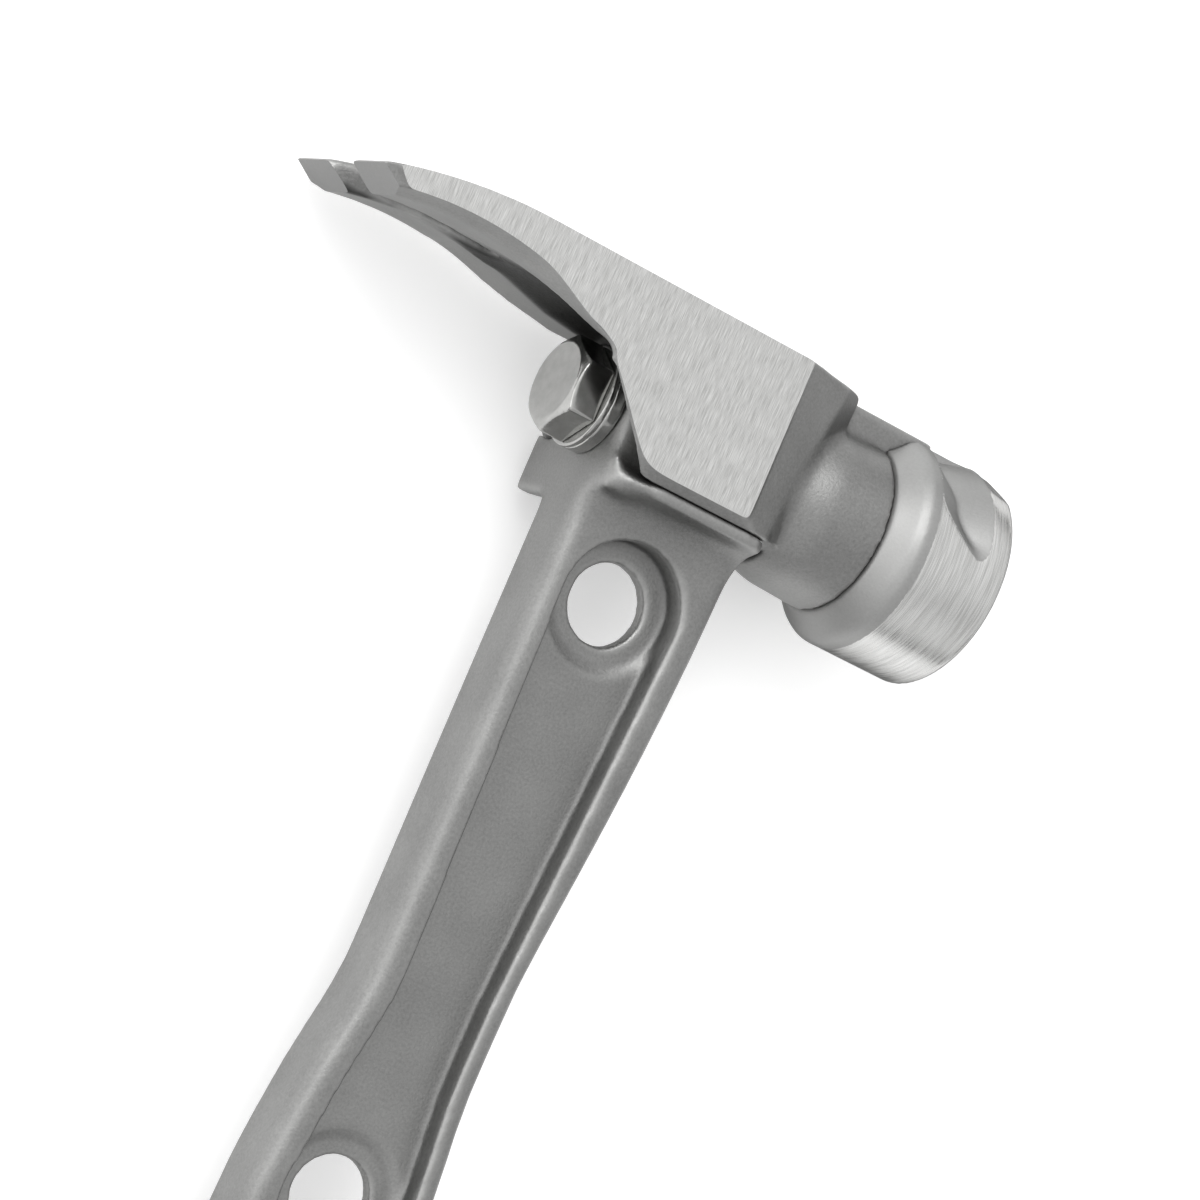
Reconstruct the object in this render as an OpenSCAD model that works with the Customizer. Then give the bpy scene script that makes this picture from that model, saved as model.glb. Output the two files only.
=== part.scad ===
// Titanium framing hammer with a bolted head and a replaceable steel face.
// It lies on its side. X runs along the head towards the striking face, Y runs up
// the handle towards the head, Z is the thickness. All sizes are in millimetres.
// The modules measure from the bolt's axis where it crosses the handle's middle.

/* [Overall] */
// Length from the top of the head to the butt of the grip
overall_l = 445; // [420:1:470]

/* [Head] */
// Thickness of the head across its two flat cheeks
head_t = 28.5; // [27:0.5:31]
// Height of the head's top above the bolt axis
head_top = 16.8; // [16.4:0.1:18.5]
// How far the cheeks reach below the bolt axis
cheek_drop = 8.3; // [7.8:0.1:9.5]
// Where the flat cheek ends in front of the handle's centre
cheek_front = 8.3; // [6:0.1:11]
// Front of the shoulder that the neck grows out of
shoulder_x = 22; // [20:0.5:25]
// Thickness of the shoulder at its front
shoulder_t = 19.5; // [17:0.5:23]
// Distance from the handle's centre back to the claw tips
claw_reach = 62.3; // [58:0.1:66]
// Where the claw's top starts to bend down
claw_bend = 36; // [30:1:40]
// Radius of the bend in the claw's top
claw_top_r = 90; // [80:1:120]
// Radius of the hollow underside of the claw
claw_under_r = 57; // [50:1:70]
// Highest point of the underside, above the bolt axis
claw_under_y = 11.2; // [10.6:0.1:11.6]
// Where that highest point lies behind the handle's centre
claw_under_x = 46; // [42:1:50]
// Width of the slanted band along the claw's lower edges
claw_band_w = 3.2; // [2:0.1:4]
// Height of that slanted band
claw_band_h = 1.3; // [0.6:0.1:2]
// Gap between the two claw tips
claw_gap = 7.5; // [6:0.1:9]
// Length of the nail slot from the tips
claw_slot_l = 26; // [22:0.5:30]
// Width of the closed end of the nail slot
claw_slot_end = 2.2; // [1.6:0.1:3]
// Size of the ground bevel under each claw tip
claw_tip_bevel = 2.8; // [1.5:0.1:3.2]

/* [Neck and key] */
// Diameter of the neck where it leaves the shoulder
neck_root_d = 24.4; // [23:0.1:25.5]
// Diameter of the neck where the face cap seats
neck_end_d = 26; // [25:0.1:27]
// Where the face cap seats on the neck
neck_end_x = 30.6; // [29:0.1:33]
// Width of the key that stops the cap from turning
key_w = 9; // [7:0.1:10]
// Length of the key past the neck's end
key_l = 7; // [5:0.1:8]
// Height of the key's top above the bolt axis
key_top = 16.2; // [15.6:0.1:16.4]

/* [Face cap] */
// Diameter of the striking face
face_d = 33; // [32.4:0.1:35]
// Length of the cap from its seat to the face rim
cap_l = 19.6; // [18:0.1:23]
// Length of the cone behind the cap's cylinder
cap_cone_l = 4.2; // [3:0.1:5.5]
// Diameter of the cap's rear rim
cap_rear_d = 26.6; // [26.2:0.1:28]
// Rise of the crowned face over its rim
face_crown = 1.4; // [0.8:0.1:2]
// Bevel around the face rim
face_bevel = 0.8; // [0.4:0.1:1.2]
// Depth of the two slanted notches in the cap
notch_depth = 2.1; // [1.2:0.1:3]
// Length of each notch's gentle front slope
notch_front = 5.6; // [4.5:0.1:6.6]
// Length of each notch's rear slope
notch_rear = 4; // [3:0.1:4.4]
// Angle of the notches away from square to the head's axis
notch_skew = 16; // [0:1:20]
// Angle of the two flats that lead to the nail groove
flat_lean = 21; // [16:1:26]
// Depth of those flats below the cap's roundness where they start
flat_depth = 0.2; // [0.1:0.05:0.4]
// How much the flats fall towards the face rim
flat_fall = 6; // [3:0.5:9]

/* [Nail starter] */
// Diameter of the nail groove along the top
groove_d = 4.4; // [3.6:0.1:5]
// Depth of the nail groove
groove_depth = 1.9; // [1.4:0.1:2.2]
// Where the nail groove starts behind the handle's centre
groove_back = 8; // [4:0.5:12]
// Diameter of the round magnet under the groove
magnet_d = 6; // [5:0.1:7]
// Thickness of the magnet
magnet_t = 2.5; // [2:0.1:3]

/* [Face bolt and washers] */
// Shank diameter of the face bolt
bolt_d = 7.94; // [7.5:0.01:8.2]
// Width of the bolt head across its flats
bolt_af = 12.7; // [12:0.1:13]
// Height of the bolt head
bolt_head_h = 4.9; // [4.5:0.1:5.5]
// How far the shank reaches into the face cap
bolt_engage = 13; // [10:0.1:14.5]
// Outside diameter of the thin washer
thin_washer_d = 15.4; // [14.5:0.1:16]
// Thickness of the thin washer
thin_washer_t = 0.8; // [0.6:0.1:1.2]
// Outside diameter of the spring washer
spring_washer_d = 15.4; // [14.4:0.1:15.8]
// Thickness of the spring washer
spring_washer_t = 2; // [1.6:0.1:2.4]
// Width of the split in the spring washer
spring_split = 1; // [0.6:0.1:1.6]

/* [Handle] */
// Width of the handle under the head
handle_top_w = 27.4; // [26:0.1:29]
// Width of the handle at its waist
waist_w = 21.9; // [20:0.1:24]
// Distance of the waist below the bolt axis
waist_y = 82; // [78:1:88]
// Width of the handle below its waist
lower_w = 27.6; // [26:0.1:29]
// Length over which the handle widens below its waist
lower_l = 36; // [32:1:44]
// Thickness of the handle across its flanges
handle_t = 12; // [11:0.1:13]
// Radius of the handle's long edges
handle_edge_r = 2.2; // [1.4:0.1:2.8]
// Radius of the corners of the shoulder under the head
saddle_corner_r = 4.6; // [3:0.1:5.4]
// Rear face of the handle behind the bolt seat's centre
handle_rear = 12.3; // [11.8:0.1:13]
// Thickness of the shoulder that carries the head
saddle_t = 26.4; // [24:0.1:27]
// Height of the straight edge on that shoulder
saddle_h = 1.6; // [1:0.1:2.4]
// Radius of the hollow blend under the shoulder
saddle_r = 6.6; // [5:0.1:7]

/* [Handle pocket and holes] */
// Width of the rear flange beside the pocket
rear_flange = 4.7; // [3.8:0.1:5.4]
// Width of the front flange beside the pocket
front_flange = 3.5; // [3:0.1:4.4]
// Thickness of the web between the pockets
web_t = 4.4; // [3.6:0.1:5.4]
// Thickness of the web inside the round recesses
ring_t = 2.8; // [2:0.1:3.4]
// Diameter of the round recesses
ring_d = 18.8; // [17:0.1:19.6]
// Diameter of the two holes through the handle
hole_d = 11.8; // [10.5:0.1:13]
// Distance of the upper hole below the bolt axis
hole_y = 24.9; // [24:0.1:28]
// Spacing of the two holes
hole_pitch = 89.4; // [84:0.1:95]

/* [Tang and side nail puller] */
// Width of the tang that sits in the head
tang_t = 18.4; // [17:0.1:19.4]
// Front of the tang ahead of the handle's centre
tang_front = 8.8; // [7.5:0.1:10]
// Reach of the nail puller from the handle's middle
puller_reach = 13.7; // [12.5:0.1:14.2]
// Length of the nail puller along the head
puller_l = 9.6; // [8.5:0.1:11]
// Lower edge of the nail puller below the bolt axis
puller_low = 14; // [13:0.1:16]
// Width of the nail puller's slot at its mouth
puller_mouth = 4.6; // [3.6:0.1:5.2]

/* [Grip] */
// Length of the rubber grip
grip_l = 236; // [215:1:250]
// Width of the grip at its middle
grip_w = 35; // [33:0.5:38]
// Thickness of the grip at its middle
grip_t = 25; // [23:0.5:28]
// Width of the grip at the butt
butt_w = 42; // [39:0.5:45]
// Width of the handle's core inside the grip
core_w = 19; // [16:0.5:21]
// Thickness of the core inside the grip
core_t = 8; // [7:0.1:9]
// Rubber below the end of the core
butt_wall = 9; // [6:0.5:14]

/* [Fits] */
// Gap between the head and the handle
head_fit = 0.2; // [0.1:0.05:0.3]
// Gap between the neck and the front of the handle
neck_gap = 0.6; // [0.4:0.05:0.9]
// Gap around the key in the cap
key_fit = 0.2; // [0.1:0.05:0.3]
// Gap around the bolt in the face cap
thread_fit = 0.06; // [0.04:0.01:0.1]
// Gap around the bolt in the head and the washers
bolt_fit = 0.35; // [0.25:0.05:0.5]
// Gap between the grip and the handle's core
grip_fit = 0.05; // [0.02:0.01:0.1]

/* [Hidden] */
$fn = 96;
far = 200;

half_t = head_t / 2;
butt_y = head_top - overall_l;
grip_top = butt_y + grip_l;
seat_x = -handle_rear;
stack_t = thin_washer_t + spring_washer_t;
bolt_seat_x = seat_x - stack_t;
face_x = neck_end_x + cap_l;
eye_r = tang_t / 2 + head_fit;
scoop_y = 2.3;
scoop_r = claw_under_y - 0.2 - scoop_y;
saddle_y = -cheek_drop - head_fit;
handle_front = handle_top_w - handle_rear;
neck_root_x = handle_front + neck_gap;
cheek_slope = 46;
lift = face_d / 2;
mid_x = (face_x + face_crown - claw_reach) / 2;
mid_y = head_top - overall_l / 2;

function smooth(f) = let (g = max(0, min(1, f))) g * g * (3 - 2 * g);

// Share of the way from the waist up to the head, rounded off at the waist
soft = 0.12;
function spread(y) = let (t = min(1, (waist_y + y) / (waist_y + saddle_y)))
    (sqrt(pow(sin(90 * t), 2) + soft * soft) - soft) / (sqrt(1 + soft * soft) - soft);

// Width of the handle at height y: wide at the head, a waist, then wide again
function handle_w(y) = -y < waist_y
    ? waist_w + (handle_top_w - waist_w) * spread(y)
    : waist_w + (lower_w - waist_w) * smooth((-y - waist_y) / lower_l);

// Middle of the handle at height y: it leans back to the waist, bows, and ends forward
top_mid = handle_top_w / 2 - handle_rear;
waist_mid = -1.1;
bow_mid = -2.2;
bow = 3.2;
hook = 3.5;
function handle_mid(y) = -y < waist_y
    ? waist_mid + (top_mid - waist_mid) * spread(y)
    : let (g = (-y - waist_y) / (-butt_y - waist_y))
      waist_mid + (bow_mid - waist_mid) * smooth((-y - waist_y) / (lower_l / 2))
      - bow * pow(sin(180 * g), 2) + hook * g * g * g;

// Half thickness of the handle: a quarter-round hollow opens it out under the head
function handle_half(y) =
    let (d = saddle_y - saddle_h - y, r = saddle_r, low = handle_t / 2, high = saddle_t / 2)
    d <= 0 ? high : d >= r ? low : low + (high - low) * (1 - sqrt(1 - pow(1 - d / r, 2)));

// Corner radius of the handle, larger where it opens out
function handle_r(y) = handle_edge_r + (saddle_corner_r - handle_edge_r)
    * (handle_half(y) - handle_t / 2) / (saddle_t / 2 - handle_t / 2);

// One ring of a bar: a rectangle with rounded corners, at height y
corner_n = 3;
function ring(mid, w, half, r, y) = [
    for (q = [[1, 1, 0], [-1, 1, 90], [-1, -1, 180], [1, -1, 270]])
    for (i = [0 : corner_n])
    let (a = q[2] + 90 * i / corner_n)
    [mid + q[0] * (w / 2 - r) + r * cos(a), y, q[1] * (half - r) + r * sin(a)]];

// A closed skin over rings that all have the same number of points
module loft(rings) {
    n = len(rings[0]);
    k = len(rings);
    polyhedron(
        points = [for (r = rings) for (p = r) p],
        faces = concat(
            [[for (i = [0 : n - 1]) i]],
            [[for (i = [n - 1 : -1 : 0]) (k - 1) * n + i]],
            [for (j = [0 : k - 2]) for (i = [0 : n - 1]) [j * n + i, (j + 1) * n + i, (j + 1) * n + (i + 1) % n]],
            [for (j = [0 : k - 2]) for (i = [0 : n - 1]) [j * n + i, (j + 1) * n + (i + 1) % n, j * n + (i + 1) % n]]),
        convexity = 6);
}

// A round bar along X
module x_rod(r, x0, x1) {
    translate([x0, 0, 0]) rotate([0, 90, 0]) cylinder(r = r, h = x1 - x0);
}

// A bar along X with an arched top of radius r around the bolt's axis, down to y0
module arched_bar(r, y0, x0, x1) {
    translate([x0, 0, 0]) rotate([0, 90, 0]) linear_extrude(height = x1 - x0) polygon(concat(
        [[-r, y0]], [for (a = [180 : -6 : 0]) [r * cos(a), r * sin(a)]], [[r, y0]]));
}

// A round hole or bar along Z
module z_rod(r, h) {
    cylinder(r = r, h = h, center = true);
}

// Moves a piece from the bolt's axis to the middle of the floor under the hammer
module lie_down() {
    translate([-mid_x, -mid_y, lift]) children();
}

// Side outline of the head: cheek, claw top bending down, claw underside cut later
function claw_top(x) = let (d = max(0, -x - claw_bend)) head_top - claw_top_r + sqrt(claw_top_r * claw_top_r - d * d);
function claw_low(x) = claw_under_y - claw_under_r + sqrt(pow(claw_under_r, 2) - pow(x + claw_under_x, 2));

claw_steps = 10;
tip_y = claw_top(-claw_reach) - 0.6;
tip_low_y = claw_low(-claw_reach + claw_tip_bevel);
cheek_end_x = -21.5;
cheek_foot_x = cheek_end_x + (claw_low(cheek_end_x) + cheek_drop) / tan(cheek_slope);
module head_side() {
    linear_extrude(height = head_t, center = true) difference() {
        polygon(concat(
            [[shoulder_x, -cheek_drop], [shoulder_x, head_top]],
            [for (i = [0 : claw_steps])
                let (x = -claw_bend - (claw_reach - claw_bend) * i / claw_steps) [x, claw_top(x)]],
            [[-claw_reach, tip_y], [-claw_reach + 2 * claw_tip_bevel, 2 * tip_low_y - tip_y],
             [-claw_reach + 2 * claw_tip_bevel, -cheek_drop]]));
        // the space behind the cheek, under the claw
        polygon([[cheek_foot_x, -cheek_drop - 1], [cheek_end_x, claw_low(cheek_end_x)],
                 [-claw_reach - 1, claw_low(cheek_end_x)], [-claw_reach - 1, -cheek_drop - 1]]);
    }
}

// Cutter for the claw's underside, turned about the axis of its hollow
module claw_underside() {
    outer = half_t + 1;
    slope = claw_band_h / claw_band_w;
    first = acos((cheek_end_x + claw_under_x) / claw_under_r) - 1;
    last = 114;
    translate([-claw_under_x, claw_under_y - claw_under_r, 0])
    rotate([0, 0, first]) rotate_extrude(angle = last - first, $fn = 180) polygon([
        [claw_under_r - 12, -outer],
        [claw_under_r + claw_band_h + slope, -outer],
        [claw_under_r, -(half_t - claw_band_w)],
        [claw_under_r, half_t - claw_band_w],
        [claw_under_r + claw_band_h + slope, outer],
        [claw_under_r - 12, outer]]);
}

// Plan outline of the head, seen from above the hammer
module head_plan() {
    rotate([90, 0, 0]) linear_extrude(height = 2 * far, center = true) polygon([
        [-claw_reach - 1, -half_t], [cheek_front, -half_t],
        [shoulder_x, -shoulder_t / 2], [shoulder_x, shoulder_t / 2],
        [cheek_front, half_t], [-claw_reach - 1, half_t]]);
}

// Nail slot between the claws, with a round closed end
module nail_slot() {
    end_x = -claw_reach + claw_slot_l;
    r = claw_slot_end / 2;
    rotate([90, 0, 0]) linear_extrude(height = 2 * far, center = true) polygon(concat(
        [[-claw_reach - 1, -claw_gap / 2 - 0.1]],
        [for (a = [-90 : 22.5 : 90]) [end_x + r * cos(a), r * sin(a)]],
        [[-claw_reach - 1, claw_gap / 2 + 0.1]]));
}

// Half-round nail groove along the top, from x0 to x1
module nail_groove(x0, x1) {
    translate([0, head_top - groove_depth + groove_d / 2, 0]) x_rod(groove_d / 2, x0, x1, $fn = 48);
}

magnet_x = 4;
magnet_y = head_top - groove_depth;
magnet_fit = 0.05;
module claw_head() {
    color([0.62, 0.62, 0.61]) lie_down() difference() {
        union() {
            difference() {
                intersection() {
                    head_side();
                    head_plan();
                }
                claw_underside();
                translate([0, scoop_y, 0]) x_rod(scoop_r, -claw_under_x, seat_x + 2);
                nail_slot();
            }
            translate([tang_front + 2, 0, 0]) rotate([0, 90, 0])
                cylinder(d1 = neck_root_d, d2 = neck_end_d, h = neck_end_x - tang_front - 2);
            translate([shoulder_x - 2, 0, -key_w / 2]) cube([neck_end_x + key_l - shoulder_x + 2, key_top, key_w]);
        }
        // the eye that the handle's tang fills, open below and behind
        arched_bar(eye_r, -far, -far, tang_front + head_fit);
        // the space in front of the handle, behind the neck
        translate([tang_front - 1, -far, -far]) cube([neck_root_x - tang_front + 1, far - cheek_drop, 2 * far]);
        // the bolt's way through the neck, and the room for the cap around the key
        x_rod(bolt_d / 2 + bolt_fit, 0, far);
        translate([neck_end_x, -far, -far]) cube([far, far + cap_bore_top, 2 * far]);
        nail_groove(-groove_back, far);
        translate([magnet_x, magnet_y - magnet_t, 0]) rotate([-90, 0, 0]) cylinder(d = magnet_d, h = far, $fn = 64);
    }
}

module nail_magnet() {
    color([0.75, 0.75, 0.77]) lie_down()
        translate([magnet_x, magnet_y, 0]) rotate([90, 0, 0])
            cylinder(d = magnet_d - 2 * magnet_fit, h = magnet_t, $fn = 64);
}

// The key's underside above the bolt axis, which the cap's slot clears
cap_bore_top = 11.6;
notch_lean = 42;
notch_back = 9.7;
notch_x = neck_end_x + notch_back;
flat_back = 12.6;
flat_x = neck_end_x + flat_back;
cone_round = 0.6;
module face_cap() {
    r = face_d / 2;
    crown_r = (pow(r - face_bevel, 2) + pow(face_crown, 2)) / (2 * face_crown);
    color([0.78, 0.78, 0.78]) lie_down() difference() {
        translate([neck_end_x, 0, 0]) rotate([0, 90, 0]) rotate_extrude() polygon(concat(
            [[0, 0], [cap_rear_d / 2, 0], [r - cone_round, cap_cone_l - 2 * cone_round], [r, cap_cone_l],
             [r, cap_l - face_bevel], [r - face_bevel, cap_l]],
            [for (i = [1 : 8]) let (d = (r - face_bevel) * (1 - i / 8))
                [d, cap_l + face_crown - crown_r + sqrt(crown_r * crown_r - d * d)]]));
        x_rod(bolt_d / 2 + thread_fit, 0, neck_end_x + bolt_engage + 1.5);
        // slot for the key
        translate([0, cap_bore_top - key_fit, -key_w / 2 - key_fit])
            cube([neck_end_x + key_l + key_fit, far, key_w + 2 * key_fit]);
        nail_groove(0, far);
        // two slanted notches, one on each side of the top
        for (side = [-1, 1]) {
            rotate([side * notch_lean, 0, 0]) translate([notch_x, r - notch_depth, 0])
                rotate([0, side * notch_skew, 0]) linear_extrude(height = 2 * face_d, center = true)
                    polygon([[0, 0], [-2 * notch_rear, 2 * notch_depth], [2 * notch_front, 2 * notch_depth]]);
            rotate([side * flat_lean, 0, 0]) translate([flat_x, r - flat_depth, -r]) rotate([0, 0, -flat_fall])
                cube([face_d, face_d, 2 * r]);
        }
    }
}

module face_bolt() {
    tip_x = neck_end_x + bolt_engage;
    corner_r = bolt_af / 2 / cos(30);
    crown_r = bolt_af / 2 * 0.92;
    crown_slope = tan(60);
    tip_bevel = 0.8;
    color([0.85, 0.85, 0.86]) lie_down() {
        intersection() {
            translate([bolt_seat_x - bolt_head_h, 0, 0]) rotate([0, 90, 0]) rotate([0, 0, 30])
                cylinder(r = corner_r, h = bolt_head_h, $fn = 6);
            translate([bolt_seat_x - bolt_head_h, 0, 0]) rotate([0, 90, 0])
                cylinder(r1 = crown_r, r2 = crown_r + bolt_head_h * crown_slope, h = bolt_head_h);
        }
        x_rod(bolt_d / 2, bolt_seat_x - 0.01, tip_x - 1);
        translate([tip_x - 1, 0, 0]) rotate([0, 90, 0]) cylinder(d1 = bolt_d, d2 = bolt_d - 2 * tip_bevel, h = 1);
    }
}

module washer(od, t, x0) {
    difference() {
        x_rod(od / 2, x0, x0 + t);
        x_rod(bolt_d / 2 + bolt_fit, x0 - 1, x0 + t + 1);
    }
}

module thin_washer() {
    color([0.9, 0.9, 0.9]) lie_down() washer(thin_washer_d, thin_washer_t, bolt_seat_x);
}

module spring_washer() {
    color([0.7, 0.7, 0.7]) lie_down() difference() {
        washer(spring_washer_d, spring_washer_t, bolt_seat_x + thin_washer_t);
        translate([bolt_seat_x, 0, -spring_split / 2]) cube([stack_t + 1, far, spring_split]);
    }
}

// Outer body of the handle down to the grip
body_steps = 34;
saddle_steps = 8;
module handle_body() {
    low = grip_top;
    top_part = [for (i = [0 : saddle_steps]) saddle_y - saddle_h - saddle_r * i / saddle_steps];
    top_end = saddle_y - saddle_h - saddle_r;
    rest = [for (i = [1 : body_steps]) top_end + (low - top_end) * i / body_steps];
    loft([for (y = concat([saddle_y], top_part, rest))
        ring(handle_mid(y), handle_w(y), handle_half(y), handle_r(y), y)]);
}

core_edge_r = 1.5;
core_steps = 12;
// The core inside the grip, enlarged by extra on every side
module grip_core(extra) {
    y0 = grip_top + (extra > 0 ? 0 : 1);
    y1 = butt_y + butt_wall - extra;
    loft([for (i = [0 : core_steps]) let (y = y0 + (y1 - y0) * i / core_steps)
        ring(handle_mid(y), core_w + 2 * extra, core_t / 2 + extra, core_edge_r, y)]);
}

// Web pocket outline, following the handle's edges inside its flanges
pocket_steps = 20;
pocket_low = grip_top + 16;
module pocket_outline() {
    ys = [for (i = [0 : pocket_steps]) -waist_y + (pocket_low + waist_y) * i / pocket_steps];
    polygon(concat(
        [[hole_x1 - ring_d / 2, -hole_y]],
        [for (y = ys) [handle_mid(y) - handle_w(y) / 2 + rear_flange, y]],
        [for (i = [pocket_steps : -1 : 0]) let (y = ys[i]) [handle_mid(y) + handle_w(y) / 2 - front_flange, y]],
        [[hole_x1 + ring_d / 2, -hole_y]]));
}

hole_x1 = handle_mid(-hole_y) - 0.6;
hole_x2 = handle_mid(-hole_y - hole_pitch);
module handle() {
    color([0.52, 0.52, 0.52]) lie_down() difference() {
        union() {
            handle_body();
            grip_core(0);
            // tang with the round bolt seat at its rear
            arched_bar(tang_t / 2, saddle_y - 1, seat_x, tang_front);
            saddle_rear();
            nail_puller();
        }
        x_rod(bolt_d / 2 + bolt_fit, -far, far);
        for (side = [-1, 1]) {
            translate([0, 0, side * (web_t / 2 + far / 2)]) linear_extrude(height = far, center = true)
                pocket_outline();
            for (p = [[hole_x1, -hole_y], [hole_x2, -hole_y - hole_pitch]])
                translate([p[0], p[1], side * (ring_t / 2 + far / 2)]) z_rod(ring_d / 2, far);
        }
        for (p = [[hole_x1, -hole_y], [hole_x2, -hole_y - hole_pitch]])
            translate([p[0], p[1], 0]) z_rod(hole_d / 2, far);
        puller_slot();
    }
}

// Side outline behind the cheek: it climbs under the cheek's slanted rear edge
module behind_cheek(x1, y0) {
    rise = (claw_low(cheek_end_x) + cheek_drop + 1) / (cheek_foot_x - cheek_end_x);
    top_x = cheek_foot_x - 1 / rise - 2 * head_fit;
    polygon([[seat_x, y0], [x1, y0], [x1, saddle_y], [top_x, saddle_y],
             [seat_x, saddle_y + (top_x - seat_x) * rise]]);
}

// The shoulder climbs a little behind both cheeks
module saddle_rear() {
    linear_extrude(height = saddle_t - 4, center = true) behind_cheek(seat_x + 5, saddle_y - 3);
}

// Lug for pulling nails sideways, on the lower side of the lying hammer
module nail_puller() {
    translate([0, 0, -puller_reach]) linear_extrude(height = puller_reach)
        behind_cheek(seat_x + puller_l, -puller_low);
}

module puller_slot() {
    slot_x = seat_x + puller_l / 2;
    depth = 6;
    translate([slot_x, 0, -puller_reach]) rotate([90, 0, 0]) linear_extrude(height = 2 * far, center = true)
        polygon([[-puller_mouth / 2, -1], [puller_mouth / 2, -1], [0.5, depth], [-0.5, depth]]);
}

// Outer form of the grip: it swells at its middle and flares at the butt
grip_steps = 28;
function grip_width(g) = grip_w * (0.86 + 0.14 * sin(180 * min(1, g * 1.25))) + (butt_w - 0.86 * grip_w) * smooth((g - 0.8) / 0.2);
function grip_half(g) = grip_t / 2 * (0.84 + 0.16 * sin(180 * min(1, g * 1.25))) + grip_t * 0.07 * smooth((g - 0.82) / 0.18);
module rubber_grip() {
    color([0.09, 0.09, 0.09]) lie_down() difference() {
        loft([for (i = [0 : grip_steps]) let (
                g = i / grip_steps,
                y = grip_top - grip_l * g,
                shrink = g > 0.999 ? 5 : g < 0.001 ? 2.5 : 0,
                w = grip_width(g) - shrink,
                h = grip_half(g) - shrink / 2)
            ring(handle_mid(y), w, h, min(h, w / 2) * 0.8, y)]);
        grip_core(grip_fit);
    }
}

claw_head();
nail_magnet();
face_cap();
face_bolt();
thin_washer();
spring_washer();
handle();
rubber_grip();
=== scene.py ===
import math
import bpy
import bmesh
import numpy as np
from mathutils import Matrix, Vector


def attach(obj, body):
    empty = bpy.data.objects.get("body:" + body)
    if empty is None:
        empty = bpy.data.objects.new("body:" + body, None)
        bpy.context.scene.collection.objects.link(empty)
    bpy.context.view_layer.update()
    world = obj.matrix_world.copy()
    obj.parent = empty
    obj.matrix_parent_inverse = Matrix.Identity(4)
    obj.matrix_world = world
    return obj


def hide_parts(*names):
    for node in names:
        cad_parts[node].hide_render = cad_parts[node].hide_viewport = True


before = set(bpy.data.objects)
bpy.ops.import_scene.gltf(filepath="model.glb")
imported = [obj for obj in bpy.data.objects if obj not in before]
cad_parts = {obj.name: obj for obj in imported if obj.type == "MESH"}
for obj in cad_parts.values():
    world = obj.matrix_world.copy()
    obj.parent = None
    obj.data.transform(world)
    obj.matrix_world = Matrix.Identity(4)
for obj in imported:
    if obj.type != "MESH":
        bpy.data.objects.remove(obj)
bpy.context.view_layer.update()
mm = 0.001
center = np.array([5.35, 205.7, 16.5])  # where the bolt's axis crosses the handle's middle, in mm
mergeDistance = 1e-6  # points of a CAD solid this close to each other are one point, in m
relaxSteps = (0.6, -0.3)  # a step towards the neighbours' mean, then a smaller one back out
print("frame loaded")


# Places in the settings are in mm from the bolt's axis: x towards the striking face, y towards the head's
# top, z towards the viewer. A ramp is (the place where it is 0, the length over which it climbs to 1).

def smoothStep(t):
    # 3t^2 - 2t^3 between 0 and 1, flat outside
    t = np.clip(t, 0, 1)
    return t * t * (3 - 2 * t)


def rise(value, ramp):
    # smooth step of (value - place) / length
    return smoothStep((value - ramp[0]) / ramp[1])


def fall(value, ramp):
    # smooth step of (place - value) / length
    return smoothStep((ramp[0] - value) / ramp[1])


def fromAxis(co):
    # coordinates in m, less the axis' place, as x, y and z in mm
    return (co / mm - center).T


def toMeters(x, y, z):
    # the other way round
    return (np.stack([x, y, z], 1) + center) * mm


def addToScene(obj):
    bpy.context.scene.collection.objects.link(obj)
    return obj


def addMesh(name, verts, faces, smooth=True):
    mesh = bpy.data.meshes.new(name)
    mesh.from_pydata(verts.tolist(), [], faces)
    mesh.update()
    if smooth:
        mesh.shade_smooth()
    return addToScene(bpy.data.objects.new(name, mesh))


def readPoints(mesh):
    co = np.empty(len(mesh.vertices) * 3)
    mesh.vertices.foreach_get("co", co)
    return co.reshape(-1, 3)


def writePoints(mesh, co):
    mesh.vertices.foreach_set("co", co.ravel())
    mesh.update()


def movePoints(mesh, function):
    writePoints(mesh, function(readPoints(mesh)))


def floatAttribute(mesh, name, values):
    attribute = mesh.attributes.new(name, "FLOAT", "POINT")
    attribute.data.foreach_set("value", values.astype(np.float32))


def neighbourMean(mesh):
    # mean of a point's value = sum of its neighbours' values along the edges / number of neighbours
    ends = np.empty(len(mesh.edges) * 2, int)
    mesh.edges.foreach_get("vertices", ends)
    a, b = ends.reshape(-1, 2).T
    here, there = np.r_[a, b], np.r_[b, a]
    count = np.bincount(here, minlength=len(mesh.vertices))
    return lambda values: np.bincount(here, values[there], len(count)) / count


def relax(mesh, passes, weight=None):
    # each pass moves every point by step weight (mean of its neighbours - point), once for each of the two
    # steps, so the form keeps its size
    mean = neighbourMean(mesh)
    co = readPoints(mesh)
    share = 1 if weight is None else weight(co)[:, None]
    for i in range(passes):
        for step in relaxSteps:
            middle = np.stack([mean(co[:, k]) for k in range(3)], 1)
            co = co + step * share * (middle - co)
    writePoints(mesh, co)


def bendAttribute(mesh):
    # bend = how far a point stands out of the mean of its neighbours along its normal, in tenths of
    # a millimetre, averaged over three rings of neighbours: above 0 on edges, below 0 in hollows
    mean = neighbourMean(mesh)
    co = readPoints(mesh)
    normals = np.empty(len(co) * 3)
    mesh.vertices.foreach_get("normal", normals)
    normals = normals.reshape(-1, 3)
    bend = sum((co[:, k] - mean(co[:, k])) * normals[:, k] for k in range(3)) / (0.1 * mm)
    for ring in range(3):
        bend = (bend + mean(bend)) / 2
    floatAttribute(mesh, "bend", bend)


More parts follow.
